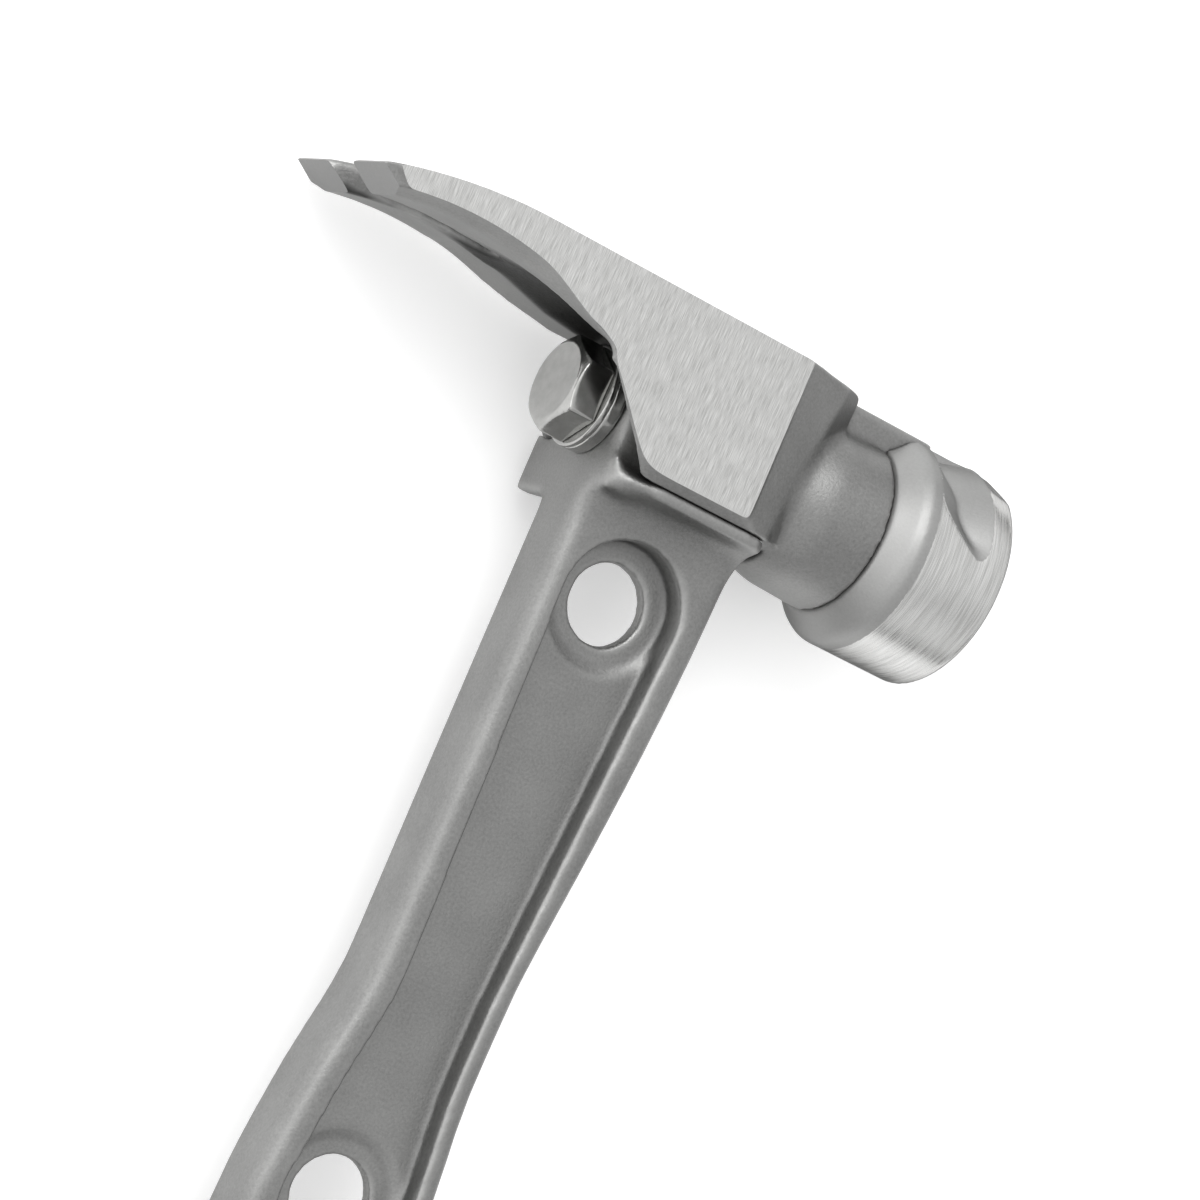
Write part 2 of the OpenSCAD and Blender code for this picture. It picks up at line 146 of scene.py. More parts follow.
def turnOutwards(mesh, merge=0):
    # points closer than merge become one first
    bm = bmesh.new()
    bm.from_mesh(mesh)
    if merge:
        bmesh.ops.remove_doubles(bm, verts=bm.verts, dist=merge)
    bmesh.ops.recalc_face_normals(bm, faces=bm.faces)
    bm.to_mesh(mesh)
    bm.free()


def cutter(name, low, high):
    # a closed solid between two rings of points
    n = len(low)
    i = np.arange(n)
    j = (i + 1) % n
    sides = np.stack([i, j, j + n, i + n], 1).tolist()
    points = (np.vstack([low, high]) + center) * mm
    obj = addMesh(name, points, sides + [list(range(n)), list(range(n, 2 * n))], smooth=False)
    turnOutwards(obj.data)
    return obj


def cutBeyond(bm, point, normal, snap=0):
    # takes away what lies beyond a plane and gives the edges of the opening
    geom = bm.verts[:] + bm.edges[:] + bm.faces[:]
    cut = bmesh.ops.bisect_plane(bm, geom=geom, dist=snap, plane_co=point, plane_no=normal, clear_outer=True)
    return [e for e in cut["geom_cut"] if isinstance(e, bmesh.types.BMEdge) and e.is_boundary]


def castCopy(node, name, voxel, shape=None, cutY=None, cutters=()):
    # one even skin of small quads over a copy of the CAD solid, ready to be softened like a casting;
    # the cutters' room is taken out of it first
    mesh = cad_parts[node].data.copy()
    mesh.materials.clear()
    bm = bmesh.new()
    bm.from_mesh(mesh)
    bmesh.ops.remove_doubles(bm, verts=bm.verts, dist=mergeDistance)
    if cutY is not None:
        bmesh.ops.contextual_create(bm, geom=cutBeyond(bm, (0, cutY, 0), (0, -1, 0)))
    bm.to_mesh(mesh)
    bm.free()
    if shape:
        movePoints(mesh, shape)
    raw = addToScene(bpy.data.objects.new("raw", mesh))
    for tool in cutters:
        mod = raw.modifiers.new(tool.name, "BOOLEAN")
        mod.object = tool
        mod.operation = "DIFFERENCE"
        mod.solver = "EXACT"
    mod = raw.modifiers.new("skin", "REMESH")
    mod.mode = "VOXEL"
    mod.voxel_size = voxel
    mod.use_smooth_shade = True
    done = bpy.data.meshes.new_from_object(raw.evaluated_get(bpy.context.evaluated_depsgraph_get()))
    done.name = name
    for used in (raw, *cutters):
        bpy.data.objects.remove(used)
    return addToScene(bpy.data.objects.new(name, done))


def groundFlat(obj, point, normal, slot):
    # grinds everything beyond a plane away and leaves one flat face with sharp edges
    bm = bmesh.new()
    bm.from_mesh(obj.data)
    edges = cutBeyond(bm, point, normal, snap=1e-7)
    for f in bmesh.ops.edgenet_fill(bm, edges=edges)["faces"]:
        f.material_index = slot
        f.smooth = False
        if f.normal.dot(Vector(normal)) < 0:
            f.normal_flip()
    for e in edges:
        if e.is_valid:
            e.smooth = False
    bm.to_mesh(obj.data)
    bm.free()


# materials

def grey(level, blue=None):
    return (level, level, level if blue is None else blue, 1)


def newMaterial(name, constants):
    mat = bpy.data.materials.new(name)
    mat.use_nodes = True
    shader = mat.node_tree.nodes["Principled BSDF"]
    for key, value in constants.items():
        shader.inputs[key].default_value = value
    return mat, mat.node_tree, shader


def newGroup(name, inputs):
    # inputs are (name, socket type, default); each group puts out color, roughness and height
    tree = bpy.data.node_groups.new(name, "ShaderNodeTree")
    for label, kind, value in inputs:
        socket = tree.interface.new_socket(label, in_out="INPUT", socket_type="NodeSocket" + kind)
        if value is not None:
            socket.default_value = value
    for label, kind in (("Color", "Color"), ("Roughness", "Float"), ("Height", "Float")):
        tree.interface.new_socket(label, in_out="OUTPUT", socket_type="NodeSocket" + kind)
    return tree, tree.nodes.new("NodeGroupInput").outputs, tree.nodes.new("NodeGroupOutput").inputs


def useGroup(tree, group, values, vector):
    node = tree.nodes.new("ShaderNodeGroup")
    node.node_tree = group
    for key, value in values.items():
        node.inputs[key].default_value = value
    tree.links.new(vector, node.inputs["Vector"])
    return node


def setSocket(tree, socket, value):
    # value is a number, a color or another node's output
    if isinstance(value, (int, float, tuple)):
        socket.default_value = value
    else:
        tree.links.new(value, socket)


def noiseNode(tree, vector, scale, detail, roughness=0.5):
    node = tree.nodes.new("ShaderNodeTexNoise")
    for key, value in (("Scale", scale), ("Detail", detail), ("Roughness", roughness), ("Vector", vector)):
        setSocket(tree, node.inputs[key], value)
    return node.outputs["Fac"]


def mathNode(tree, op, a, b):
    node = tree.nodes.new("ShaderNodeMath")
    node.operation = op
    setSocket(tree, node.inputs[0], a)
    setSocket(tree, node.inputs[1], b)
    return node.outputs[0]


def rangeNode(tree, value, low, high, toLow=0.0, toHigh=1.0):
    node = tree.nodes.new("ShaderNodeMapRange")
    for key, number in (("Value", value), ("From Min", low), ("From Max", high),
                        ("To Min", toLow), ("To Max", toHigh)):
        setSocket(tree, node.inputs[key], number)
    return node.outputs["Result"]


def mixNode(tree, kind, factor, a, b):
    # the mix node has its own pair of inputs for each kind of value
    node = tree.nodes.new("ShaderNodeMix")
    node.data_type = kind
    first, out = {"FLOAT": (2, 0), "RGBA": (6, 2)}[kind]
    for i, value in ((0, factor), (first, a), (first + 1, b)):
        setSocket(tree, node.inputs[i], value)
    return node.outputs[out]


def attributeNode(tree, name):
    node = tree.nodes.new("ShaderNodeAttribute")
    node.attribute_name = name
    return node.outputs["Fac"]


def addNoise(tree, base, noise, amount):
    # base + (noise - 0.5) amount
    swing = mathNode(tree, "MULTIPLY", mathNode(tree, "SUBTRACT", noise, 0.5), amount)
    return mathNode(tree, "ADD", base, swing)


def grainOutputs(tree, given, result, noises, share, contrast, swing):
    # shade = share of the first noise + the rest of the second; the color lies between Dark and Light,
    # the first noise also moves the roughness and is the height
    first, second = noises
    both = mathNode(tree, "ADD", mathNode(tree, "MULTIPLY", first, share),
                    mathNode(tree, "MULTIPLY", second, 1 - share))
    shade = rangeNode(tree, both, 0.5 - contrast, 0.5 + contrast)
    tree.links.new(mixNode(tree, "RGBA", shade, given["Dark"], given["Light"]), result["Color"])
    tree.links.new(addNoise(tree, given["Roughness"], first, swing), result["Roughness"])
    tree.links.new(first, result["Height"])


def castGrainGroup():
    # grain of a blasted casting: fine pits, with slow patches over them
    tree, given, result = newGroup("castGrain", [
        ("Vector", "Vector", None), ("Light", "Color", grey(0.3)), ("Dark", "Color", grey(0.2)),
        ("Grain Scale", "Float", 2600.0), ("Roughness", "Float", 0.5)])
    pits = noiseNode(tree, given["Vector"], given["Grain Scale"], detail=3, roughness=0.65)
    patches = noiseNode(tree, given["Vector"], scale=90, detail=4)
    grainOutputs(tree, given, result, (pits, patches), share=0.6, contrast=0.2, swing=0.25)
    return tree


def groundLinesGroup():
    # belt-ground lines that run across X, long and fine, with broader bands under them
    tree, given, result = newGroup("groundLines", [
        ("Vector", "Vector", None), ("Light", "Color", grey(0.7)), ("Dark", "Color", grey(0.4)),
        ("Line Width", "Float", 0.0003), ("Line Length", "Float", 0.006), ("Roughness", "Float", 0.3)])
    across = mathNode(tree, "DIVIDE", 1.0, given["Line Width"])
    along = mathNode(tree, "DIVIDE", 1.0, given["Line Length"])

    def stretched(factor):
        # object coordinates divided by the line's width along X and by its length along Y and Z
        scale = tree.nodes.new("ShaderNodeCombineXYZ")
        for k, size in enumerate((across, along, along)):
            tree.links.new(mathNode(tree, "MULTIPLY", size, factor), scale.inputs[k])
        product = tree.nodes.new("ShaderNodeVectorMath")
        product.operation = "MULTIPLY"
        tree.links.new(given["Vector"], product.inputs[0])
        tree.links.new(scale.outputs[0], product.inputs[1])
        return product.outputs[0]

    lines = noiseNode(tree, stretched(1.0), scale=1, detail=2, roughness=0.7)
    bands = noiseNode(tree, stretched(0.2), scale=1, detail=2)
    grainOutputs(tree, given, result, (lines, bands), share=0.84, contrast=0.16, swing=0.3)
    return tree


castGrain = castGrainGroup()
groundLines = groundLinesGroup()

# bend values over which an edge gets a painted highlight and a hollow painted shade, and how far the painted
# shade in the scale attribute darkens
paintedLightSettings = {"edgeHighlight": (0.08, 0.5), "hollowShade": (-0.4, -0.06), "scale": 0.92,
    "bright": grey(0.62, 0.61), "dark": grey(0.035, 0.034)}


def surfaceMaterial(name, group, values, constants, bump, highlightAndShade=None):
    # the last argument gives painted light from the bend attribute: (how far edges go towards a painted
    # highlight, how far hollows go towards painted shade)
    mat, tree, shader = newMaterial(name, constants)
    coords = tree.nodes.new("ShaderNodeTexCoord")
    grain = useGroup(tree, group, values, coords.outputs["Object"])
    bumpNode = tree.nodes.new("ShaderNodeBump")
    bumpNode.inputs["Distance"].default_value = bump
    bumpNode.inputs["Strength"].default_value = 1
    color = grain.outputs["Color"]
    if highlightAndShade:
        w = paintedLightSettings
        # painted highlight on raised edges, painted shade in hollows
        bend = attributeNode(tree, "bend")
        edgeHighlight = rangeNode(tree, bend, *w["edgeHighlight"], 0.0, highlightAndShade[0])
        hollowShade = rangeNode(tree, bend, *w["hollowShade"], highlightAndShade[1], 0.0)
        # the scale attribute holds painted shade and a painted dark reflection, which darken like the hollows
        paintedShadeShare = mathNode(tree, "MULTIPLY", attributeNode(tree, "scale"), w["scale"])
        color = mixNode(tree, "RGBA", edgeHighlight, color, w["bright"])
        color = mixNode(tree, "RGBA", mathNode(tree, "MAXIMUM", hollowShade, paintedShadeShare), color, w["dark"])
    tree.links.new(color, shader.inputs["Base Color"])
    tree.links.new(grain.outputs["Roughness"], shader.inputs["Roughness"])
    tree.links.new(grain.outputs["Height"], bumpNode.inputs["Height"])
    tree.links.new(bumpNode.outputs["Normal"], shader.inputs["Normal"])
    return mat


castLook = {"Light": grey(0.34, 0.335), "Dark": grey(0.22, 0.217), "Grain Scale": 2300.0, "Roughness": 0.46}
# the cast titanium's edges get a painted highlight and its hollows painted shade
castMetal = surfaceMaterial("castTitanium", castGrain, castLook,
    {"Metallic": 1.0, "Specular Tint": grey(0.75)}, bump=0.06 * mm, highlightAndShade=(0.35, 0.45))
tipLook = {"Light": grey(0.22, 0.217), "Dark": grey(0.18, 0.178), "Grain Scale": 2300.0, "Roughness": 0.4}
tipMetal = surfaceMaterial("tipTitanium", castGrain, tipLook, {"Metallic": 1.0}, bump=0.03 * mm)
cheekLook = {"Light": grey(0.79, 0.78), "Dark": grey(0.46, 0.45), "Line Width": 0.1 * mm,
    "Line Length": 2.8 * mm, "Roughness": 0.36}
cheekMetal = surfaceMaterial("groundTitanium", groundLines, cheekLook, {"Metallic": 1.0}, bump=0.02 * mm)
boltLook = {"Light": grey(0.48, 0.47), "Dark": grey(0.36, 0.35), "Grain Scale": 700.0, "Roughness": 0.17}
# the steel's edges get a painted highlight and its hollows painted shade
boltMetal = surfaceMaterial("platedSteel", castGrain, boltLook, {"Metallic": 1.0}, bump=0.006 * mm,
    highlightAndShade=(0.2, 0.5))
gripLook = {"Light": grey(0.022), "Dark": grey(0.012), "Grain Scale": 1800.0, "Roughness": 0.6}
gripRubber = surfaceMaterial("gripRubber", castGrain, gripLook, {"Metallic": 0.0}, bump=0.05 * mm)
forgedLook = {"Light": grey(0.46, 0.455), "Dark": grey(0.36, 0.355), "Grain Scale": 2600.0, "Roughness": 0.5}
groundLook = {"Light": grey(0.78, 0.77), "Dark": grey(0.52, 0.51), "Line Width": 0.2 * mm,
    "Line Length": 7 * mm, "Roughness": 0.27}
borderSettings = {"grain": 1400, "ragged": 0.7, "from": 0.45, "to": 0.55}  # between forged and ground steel


def faceSteel():
    # matte as forged, and ground bright where ground + (noise - 0.5) ragged passes the border
    mat = surfaceMaterial("faceSteel", castGrain, forgedLook,
        {"Metallic": 1.0, "Specular Tint": grey(0.1)}, bump=0.02 * mm)
    tree = mat.node_tree
    shader = tree.nodes["Principled BSDF"]
    matte = tree.nodes["Group"]
    place = tree.nodes["Texture Coordinate"].outputs["Object"]
    bright = useGroup(tree, groundLines, groundLook, place)
    b = borderSettings
    edge = addNoise(tree, attributeNode(tree, "ground"), noiseNode(tree, place, b["grain"], 2), b["ragged"])
    share = rangeNode(tree, edge, b["from"], b["to"])
    for kind, out, target in (("RGBA", "Color", shader.inputs["Base Color"]),
                              ("FLOAT", "Roughness", shader.inputs["Roughness"]),
                              ("FLOAT", "Height", tree.nodes["Bump"].inputs["Height"])):
        tree.links.new(mixNode(tree, kind, share, matte.outputs[out], bright.outputs[out]), target)
    return mat


faceMetal = faceSteel()
print("materials made")

# head casting
headSettings = {"voxel": 0.46 * mm, "firstPasses": 2, "passes": 5, "blend": 16, "cornerBlend": 40,
    # half width where the belt ground the cheek, the spare metal that is ground off, and how near to the
    # cheek a point of the solid counts as on it
    "cheek": 14.25, "spare": 0.8, "near": 0.05,
    # cast bevel left below the ground face and behind it, how steep it is, how round its corner, its reach,
    # the reach of the corner between rear edge and claw, and the half width that always stays
    "band": 1.25, "rearBand": 0.4, "bevelSlope": 0.9, "bevelBlend": 0.9, "bevelReach": (-9, 60),
    "cornerReach": (-30, 30), "leastHalf": 1,
    # lower edge of the cheek, foot and slope in degrees of its rear edge, the circle under the claw
    "low": -8.3, "foot": -8.9, "slope": 48, "clawX": -46, "clawY": -45.8, "clawR": 57, "clawBand": 1.2,
    # taper of the claw tips: a point on the line where it starts, the direction across that line, its slope
    "tipLine": (-60.4, 14.5), "tipAcross": (0.684, 0.729), "tipTaper": 0.13,
    # the ground bevel under the tips: a point on it and its angle in degrees
    "tipX": -61.9, "tipY": 12.6, "tipBevel": 31,
    # the shoulder's two facets; the second one leans back from the head's top
    "facetX": 8.3, "facetSlope": 0.408, "secondX": 17.6, "secondSlope": 0.45, "topY": 16.8, "lean": 0.15,
    # the neck's radius at neckX, its growth per mm and its waist; from neckTrim on it is made round below
    # the cheek's lower edge, and from neckFree on all round, apart from the key
    "neckR": 12.2, "neckX": 10.8, "neckGrowth": 0.04, "waist": 1.5, "waistEnd": (15.5, 7),
    "neckTrim": 15, "neckLow": 0.1, "neckFree": 22.3, "neckShell": 2, "keyHalf": 4.7, "keyRoom": 5,
    # the near claw's band runs out towards the cheek
    "fadeOut": (11.05, 3.2), "fadeRear": (-36, 11), "fadeFront": (-19.2, 1.4), "fadeHigh": (6, 4.6),
    "fadeLow": -1.5, "fadeDrop": 1.3,
    # where the front and the cheek's rear corner are softened
    "frontRear": (10.5, 4), "frontEnd": (29.3, 3), "grooveY": (12, 2), "grooveZ": (7, 1.5),
    "corner": (-21.8, 5.9), "cornerR": (4.5, 3), "cornerZ": (9, 1.5),
    # the far claw's underside and the far cheek's rear edge in side view, and how far in they reach
    "farEdge": [(-41, 11.2), (-36, 10.9), (-31.7, 10.3), (-27, 9.5), (-22.2, 8.6), (-16.6, 8.1), (-12.4, 8.2),
                (-12.4, -6), (-48, -6)], "farIn": -4, "farOut": -20,
    # the near cheek's rear rim is cut back by rimSlant per mm of depth, from below to above and this far back
    "rimSlant": 0.62, "rimIn": 7, "rimOut": 14.2, "rimAlong": (-4, 20), "rimBack": -12,
    # the round hollow beside it
    "hollowR": 8.5, "hollowY": 2.8, "hollowZ": 3.3, "hollowX": (-46, -12), "hollowPoints": 64,
    # the gap between the handle's shoulder and the neck
    "gapX": (14.2, 17.3), "gapY": (-20, -8.6), "gapZ": 15,
    # painted shade in the scoop under the claw and in the gap, and a painted dark reflection on the second
    # facet
    "scoopR": (9.6, 0.8), "scoopY": 2.3, "scoopX": (-12.5, 1.5), "darkFacet": 0.5, "darkX": (17.2, 1.4),
    "darkEnd": (23.2, 0.6), "darkR": (12.9, 0.8), "darkGapX": (17.5, 0.3), "darkGapY": (-8.7, 0.4),
    "darkGapFrom": 14}


def widerCheeks(co):
    # half width = cheek + spare wherever the solid reaches the cheek
    z = fromAxis(co)[2]
    out = np.abs(z) > headSettings["cheek"] - headSettings["near"]
    co[out, 2] = (center[2] + np.sign(z[out]) * (headSettings["cheek"] + headSettings["spare"])) * mm
    return co


def clawUnderside(x):
    # y of a circle: its middle's y + sqrt(radius^2 - (x - its middle's x)^2)
    s = headSettings
    return s["clawY"] + np.sqrt(np.maximum(0, s["clawR"] ** 2 - (x - s["clawX"]) ** 2))


def softMax(a, b, k):
    # k log(e^(a/k) + e^(b/k)): the larger of both, with a round corner where they cross
    return k * np.log(np.exp(a / k) + np.exp(b / k))


def trimHead(co):
    # half width = the smallest of: a 42 degree bevel from the lower and rear edges of the cheek, a slow
    # taper at the claw tips, and two facets in front, the second one steep; never less than the neck or
    # the key. The neck's radius grows evenly towards the cap, less a waist where it leaves the shoulder
    s = headSettings
    x, y, z = fromAxis(co)
    slope = math.radians(s["slope"])
    lower = y - s["low"]
    rear = (x - s["foot"]) * math.sin(slope) + lower * math.cos(slope) + s["band"] - s["rearBand"]
    under = y - clawUnderside(x) + s["clawBand"]
    rear = softMax(np.clip(rear, *s["cornerReach"]), np.clip(under, *s["cornerReach"]), s["bevelBlend"])
    inward = -softMax(-np.clip(lower, *s["bevelReach"]), -np.clip(rear, *s["bevelReach"]), s["bevelBlend"])
    half = s["cheek"] + np.minimum(s["bevelSlope"] * (inward - s["band"]), s["spare"])
    tip = (x - s["tipLine"][0]) * s["tipAcross"][0] + (y - s["tipLine"][1]) * s["tipAcross"][1]
    half = np.minimum(half, s["cheek"] + np.where(tip < 0, s["tipTaper"] * tip, s["spare"]))
    second = s["secondX"] - (s["topY"] - y) * s["lean"]
    front = s["cheek"] - s["facetSlope"] * (x - s["facetX"]) - s["secondSlope"] * np.maximum(0, x - second)
    radius = s["neckR"] + s["neckGrowth"] * (x - s["neckX"]) - s["waist"] * (1 - rise(x, s["waistEnd"]))
    neck = np.sqrt(np.maximum(0, radius ** 2 - y * y))
    front = np.maximum(np.maximum(front, neck), s["keyHalf"])
    half = np.where(x > s["facetX"], np.minimum(half, front), half)
    z = np.sign(z) * np.minimum(np.abs(z), np.maximum(half, s["leastHalf"]))
    away = np.hypot(y, z)
    onNeck = (x > s["neckTrim"]) & ((y < s["low"] + s["neckLow"]) | (x > s["neckFree"]))
    onNeck &= (away > radius) & (away < radius + s["neckShell"]) & ((np.abs(z) > s["keyRoom"]) | (y < 0))
    shrink = np.where(onNeck, radius / np.maximum(away, 1), 1)
    return toMeters(x, y * shrink, z * shrink)


def fadeBand(co):
    # lowers the near claw's outer lower edge again towards the cheek, so that the slanted band runs out
    # there; shift = drop (how far out the point lies in the band) (share along x) (1 near the edge, 0 well
    # above it)
    s = headSettings
    x, y, z = fromAxis(co)
    out = np.clip((np.abs(z) - s["fadeOut"][0]) / s["fadeOut"][1], 0, 1)
    height = y - clawUnderside(x)
    share = rise(x, s["fadeRear"]) * fall(x, s["fadeFront"])
    near = fall(height, s["fadeHigh"]) * (height > s["fadeLow"]) * (z > 0)
    return toMeters(x, y - s["fadeDrop"] * out * share * near, z)


def frontBlend(co):
    # 1 over the shoulder and the neck's root, 0 at the cheeks, the neck's end, the key and the nail groove
    s = headSettings
    x, y, z = fromAxis(co)
    groove = rise(y, s["grooveY"]) * fall(np.abs(z), s["grooveZ"])
    return rise(x, s["frontRear"]) * fall(x, s["frontEnd"]) * (1 - groove)


def cornerBlend(co):
    # 1 where the cheek's rear edge meets the claw's lower edge, fading out with the distance from there
    s = headSettings
    x, y, z = fromAxis(co)
    away = np.hypot(x - s["corner"][0], y - s["corner"][1])
    return fall(away, s["cornerR"]) * rise(np.abs(z), s["cornerZ"])


def headCutters():
    # each cutter joins two rings, one at its low and one at its high end
    s = headSettings
    far = cutter("farCut", *[[(x, y, z) for x, y in s["farEdge"]] for z in (s["farOut"], s["farIn"])])
    slope = math.radians(s["slope"])
    low, high = s["rimAlong"]
    rings = []
    for z in (s["rimIn"], s["rimOut"]):
        # along the rear edge, and across it: forward by the slant, then back
        ahead, back = s["rimSlant"] * (s["rimOut"] - z), s["rimBack"]
        rings.append([(s["foot"] - math.cos(slope) * along + math.sin(slope) * across,
                       s["low"] + math.sin(slope) * along + math.cos(slope) * across, z)
                      for along, across in ((low, ahead), (high, ahead), (high, back), (low, back))])
    rim = cutter("rimCut", *rings)
    turn = np.linspace(0, 2 * np.pi, s["hollowPoints"], endpoint=False)
    hollowY, hollowZ = s["hollowY"] + s["hollowR"] * np.sin(turn), s["hollowZ"] + s["hollowR"] * np.cos(turn)
    hollow = cutter("hollowCut", *[np.c_[np.full(turn.size, x), hollowY, hollowZ] for x in s["hollowX"]])
    (x0, x1), (y0, y1) = s["gapX"], s["gapY"]
    gapRings = [[(x0, y0, z), (x1, y0, z), (x1, y1, z), (x0, y1, z)] for z in (-s["gapZ"], s["gapZ"])]
    gap = cutter("gapCut", *gapRings)
    return far, rim, hollow, gap


def paintedShade(co):
    # painted shade: 1 in the scoop under the claw and in the gap over the handle's shoulder, and a painted
    # dark reflection of darkFacet on the second facet: the largest of three products of ramps
    s = headSettings
    x, y, z = fromAxis(co)
    scoop = fall(np.hypot(y - s["scoopY"], z), s["scoopR"]) * fall(x, s["scoopX"])
    second = rise(x + (s["topY"] - y) * s["lean"], s["darkX"]) * fall(x, s["darkEnd"])
    second = second * rise(np.hypot(y, z), s["darkR"])
    inGap = fall(x, s["darkGapX"]) * fall(y, s["darkGapY"]) * (x > s["darkGapFrom"])
    return np.maximum(np.maximum(scoop, inGap), s["darkFacet"] * second)


head = castCopy("claw_head", "headCasting", headSettings["voxel"], shape=widerCheeks, cutters=headCutters())
relax(head.data, headSettings["firstPasses"])
movePoints(head.data, lambda co: trimHead(fadeBand(co)))
relax(head.data, headSettings["blend"], frontBlend)
relax(head.data, headSettings["cornerBlend"], cornerBlend)
relax(head.data, headSettings["passes"])
bendAttribute(head.data)
# the scale attribute holds painted shade for the scoop and the gap, and a painted dark reflection for the
# second facet
floatAttribute(head.data, "scale", paintedShade(readPoints(head.data)))
for mat in (castMetal, cheekMetal, tipMetal):
    head.data.materials.append(mat)
for side in (1, -1):
    groundFlat(head, (0, 0, (center[2] + side * headSettings["cheek"]) * mm), (0, 0, side), slot=1)
tipAngle = math.radians(headSettings["tipBevel"])
tipPoint = (np.array([headSettings["tipX"], headSettings["tipY"], 0]) + center) * mm
groundFlat(head, tipPoint.tolist(), (-math.sin(tipAngle), -math.cos(tipAngle), 0), slot=2)
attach(head, "head")
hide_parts("claw_head")
print("head made", len(head.data.polygons))

# handle casting, cut off a little inside the grip
handleSettings = {"voxel": 0.47 * mm, "passes": 9, "blend": 60, "end": -204,
    # where the bolt seat is softened
    "seatX": (-5, 2), "seatY": (-13, 3), "seatZ": (-12.6, 1),
    # the wedge behind the near cheek climbs less by this share
    "wedgeX": -7.5, "wedgeY": (-8.5, 0), "wedgeZ": (9.4, 1), "wedgeDrop": 0.55,
    # the shoulder's top comes up to the head by this much and leaves a fine seam
    "seam": 0.15, "seamY": (-9.4, 0.6), "seamZ": 9.6}


def seatBlend(co):
    # 1 around the bolt seat and behind the cheeks, 0 elsewhere: a product of three ramps
    s = handleSettings
    x, y, z = fromAxis(co)
    return fall(x, s["seatX"]) * rise(y, s["seatY"]) * rise(z, s["seatZ"])


def lowerWedge(co):
    # y less wedgeDrop of its height over the wedge's foot, behind the near cheek and outside the bolt seat
    s = handleSettings
    x, y, z = fromAxis(co)
    foot, top = s["wedgeY"]
    share = rise(z, s["wedgeZ"]) * (x < s["wedgeX"]) * (y > foot) * (y < top)
    return toMeters(x, y - share * s["wedgeDrop"] * (y - foot), z)


def raiseTop(co):
    # y + seam on the shoulder's top, outside the middle
    s = handleSettings
    x, y, z = fromAxis(co)
    co[:, 1] += s["seam"] * mm * rise(y, s["seamY"]) * (np.abs(z) > s["seamZ"])
    return co


handleEnd = (center[1] + handleSettings["end"]) * mm
handle = castCopy("handle", "handleCasting", handleSettings["voxel"], cutY=handleEnd)
movePoints(handle.data, lowerWedge)
relax(handle.data, handleSettings["blend"], seatBlend)
relax(handle.data, handleSettings["passes"])
movePoints(handle.data, raiseTop)
bendAttribute(handle.data)
handle.data.materials.append(castMetal)
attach(handle, "head")
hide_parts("handle")
print("handle made", len(handle.data.polygons))

# face cap
capSettings = {"voxel": 0.36 * mm, "passes": 4, "radius": 16.5, "bandEnd": 36.0, "notchEnd": 46.4,
    # the notch's slopes at the top and how they change on the way down, angles in degrees from the top
    "rearStart": 0.3, "rearSlope": 0.95, "rearEase": 0.5, "frontSlope": 0.26, "frontEase": 0.12,
    "easeAngle": (5, 50), "climb": 3.3, "climbAngle": (52, 34), "climbPower": 1.5, "tipAngle": (85, 14),
    # the notch stays off the bore and the key's slot
    "innerR": 11, "slotHalf": 2.3,
    # lengths over which ground metal begins: behind the band, off the round, after the notch, beside the slot
    "bandEdge": 0.6, "roundEdge": 0.22, "notchEdge": 0.5, "slotEdge": 0.3, "slotMatte": 2.4, "slotTop": 10}


def shapeNotch(co):
    # distance from the axis = radius - min(rear slope, front slope) wherever that is above 0, between the
    # band and the notch's front, from the top down to the notch's pointed end; the rear slope gets gentler
    # and moves forward on the way down
    s = capSettings
    x, y, z = fromAxis(co)
    r = np.hypot(y, z)
    down = np.degrees(np.arctan2(np.abs(z), y))
    gentle = rise(down, s["easeAngle"])
    rear = (x - s["bandEnd"] - s["rearStart"]) * (s["rearSlope"] - s["rearEase"] * gentle)
    rear = rear - s["climb"] * rise(down, s["climbAngle"]) ** s["climbPower"]
    front = (s["notchEnd"] - x) * (s["frontSlope"] + s["frontEase"] * gentle)
    depth = np.maximum(0, np.minimum(rear, front)) * fall(down, s["tipAngle"])
    zone = (r > s["innerR"]) & (np.abs(z) > s["slotHalf"]) & (y > 0)
    zone &= (x > s["bandEnd"]) & (x < s["notchEnd"])
    scale = np.where(zone, (s["radius"] - depth) / np.maximum(r, 1), 1)
    return toMeters(x, y * scale, z * scale)


def groundSteel(co):
    # above 0.5 on ground metal: past the band and either on the full radius or after the notch,
    # less three times the share inside the key's slot
    s = capSettings
    x, y, z = fromAxis(co)
    past = (x - s["bandEnd"]) / s["bandEdge"]
    onRound = (np.hypot(y, z) - s["radius"] + s["roundEdge"]) / s["roundEdge"]
    afterNotch = (x - s["notchEnd"]) / s["notchEdge"]
    inSlot = (s["slotMatte"] - np.abs(z)) / s["slotEdge"] * (y > s["slotTop"])
    return np.clip(np.minimum(past, np.maximum(onRound, afterNotch)) - np.maximum(inSlot, 0) * 3, -1, 2)


cap = castCopy("face_cap", "capSteel", capSettings["voxel"])
movePoints(cap.data, shapeNotch)
relax(cap.data, capSettings["passes"])
floatAttribute(cap.data, "ground", groundSteel(readPoints(cap.data)))
cap.data.materials.append(faceMetal)
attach(cap, "face")
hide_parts("face_cap")
print("cap made", len(cap.data.polygons))

